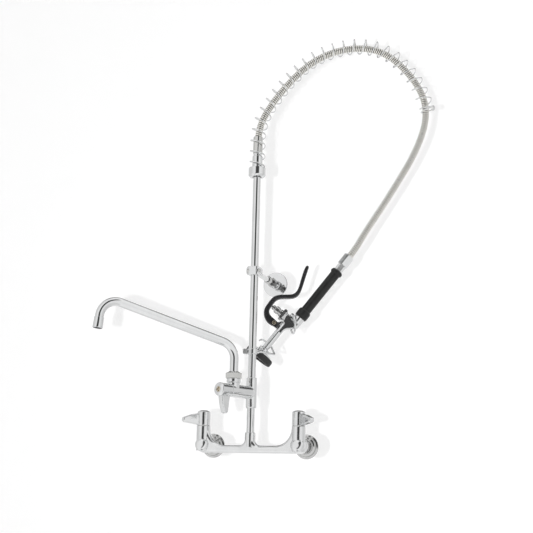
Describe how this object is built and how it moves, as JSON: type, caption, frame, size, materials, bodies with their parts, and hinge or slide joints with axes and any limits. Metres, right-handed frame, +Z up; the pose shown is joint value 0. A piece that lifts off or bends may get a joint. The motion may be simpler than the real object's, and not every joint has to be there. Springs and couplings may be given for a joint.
{
  "type": "pre rinse faucet",
  "caption": "Wall mounted pre rinse faucet: mixing base with two lever handles, riser with wall bracket, add-on swing nozzle, overhead spring and hose, squeeze spray valve on a hook.",
  "frame": {"origin": "midway between the two wall inlets, on the wall plane behind the base flanges", "axes": "+X to the right along the wall seen from the front, +Y into the wall, +Z up"},
  "size_m": [0.6151, 0.3877, 0.9172],
  "materials": {
    "chrome": "polished",
    "steel": "bright drawn",
    "brass": "machined",
    "hose_steel": "ribbed sleeve",
    "grip_black": "satin",
    "lever_black": "semi gloss",
    "rubber_black": "matte",
    "outlet_plastic": "matte"
  },
  "bodies": {
    "faucet": {"base_body": "chrome", "union_nuts": "chrome", "inlet_shank_left": "chrome", "inlet_shank_right": "chrome", "wall_flange_left": "chrome", "wall_flange_right": "chrome", "cartridge_left": "brass", "cartridge_right": "brass", "cartridge_addon": "brass", "lock_nuts": "chrome", "base_nipple": "chrome", "riser_pipe": "chrome", "addon_body": "chrome", "nozzle_nut": "chrome", "bracket_front_clamp": "chrome", "bracket_rear_clamp": "chrome", "bracket_screws": "steel", "bracket_arm": "chrome", "bracket_coupling": "chrome", "bracket_set_screw": "steel", "bracket_flange": "chrome", "hook_clamp": "chrome", "hook_wire": "steel", "hook_bolt": "steel", "hook_nut": "steel", "spring_collar": "chrome", "top_fitting": "chrome"},
    "left_handle": {"stem_left": "brass", "handle_left": "chrome", "handle_screw_left": "brass"},
    "right_handle": {"stem_right": "brass", "handle_right": "chrome", "handle_screw_right": "brass"},
    "addon_handle": {"stem_addon": "brass", "handle_addon": "chrome", "handle_screw_addon": "brass"},
    "nozzle": {"nozzle_sleeve": "brass", "nozzle_seals": "rubber_black", "nozzle_tube": "chrome", "nozzle_tip": "chrome", "flow_insert": "outlet_plastic"},
    "overhead": {"hose_nut": "chrome", "overhead_spring": "steel", "hose": "hose_steel", "ferrule_nut": "chrome", "grip_adapter": "chrome", "handle_tube": "steel", "grip": "grip_black", "grip_collar": "grip_black", "valve_body": "chrome", "bonnet": "chrome", "return_spring": "steel", "lever_screw": "brass", "spray_head": "chrome", "spray_plate": "steel", "bumper": "rubber_black"},
    "lever": {"squeeze_lever": "lever_black"},
    "plunger": {"plunger": "steel"},
    "ring": {"hold_down_ring": "chrome"}
  },
  "joints": [
    {"name": "left_handle_turn", "type": "hinge", "parent": "faucet", "child": "left_handle", "pos_m": [-0.1016, -0.0635, 0.038], "axis": [0, 0, 1], "range_deg": [-40, 50]},
    {"name": "right_handle_turn", "type": "hinge", "parent": "faucet", "child": "right_handle", "pos_m": [0.1016, -0.0635, 0.038], "axis": [0, 0, 1], "range_deg": [-50, 40]},
    {"name": "addon_handle_turn", "type": "hinge", "parent": "faucet", "child": "addon_handle", "pos_m": [-0.02666, -0.1254, 0.105], "axis": [-0.3955, -0.9184, 0], "range_deg": [0, 90]},
    {"name": "nozzle_swing", "type": "hinge", "parent": "faucet", "child": "nozzle", "pos_m": [-0.0216, -0.11365, 0.1295], "axis": [0, 0, 1], "range_deg": [-50, 150]},
    {"name": "overhead_swing", "type": "hinge", "parent": "faucet", "child": "overhead", "pos_m": [0, -0.0635, 0.621], "axis": [0, 0, 1], "range_deg": [0, 25]},
    {"name": "lever_squeeze", "type": "hinge", "parent": "overhead", "child": "lever", "pos_m": [0.02781, -0.00739, 0.25698], "axis": [-0.304, 0.9527, 0], "range_deg": [0, 14], "stiffness_Nm_per_rad": 2, "springref_deg": -17.19},
    {"name": "plunger_push", "type": "slide", "parent": "overhead", "child": "plunger", "axis": [0.7568, 0.2415, -0.6074], "range_m": [0, 0.0064], "deforming": ["return_spring"]},
    {"name": "ring_swing", "type": "hinge", "parent": "overhead", "child": "ring", "pos_m": [0.06294, 0.00382, 0.27738], "axis": [-0.304, 0.9527, 0], "range_deg": [-10, 10]}
  ],
  "couplings": [
    {"joint": "plunger_push", "follows": "lever_squeeze", "m_per_rad": 0.0261}
  ]
}
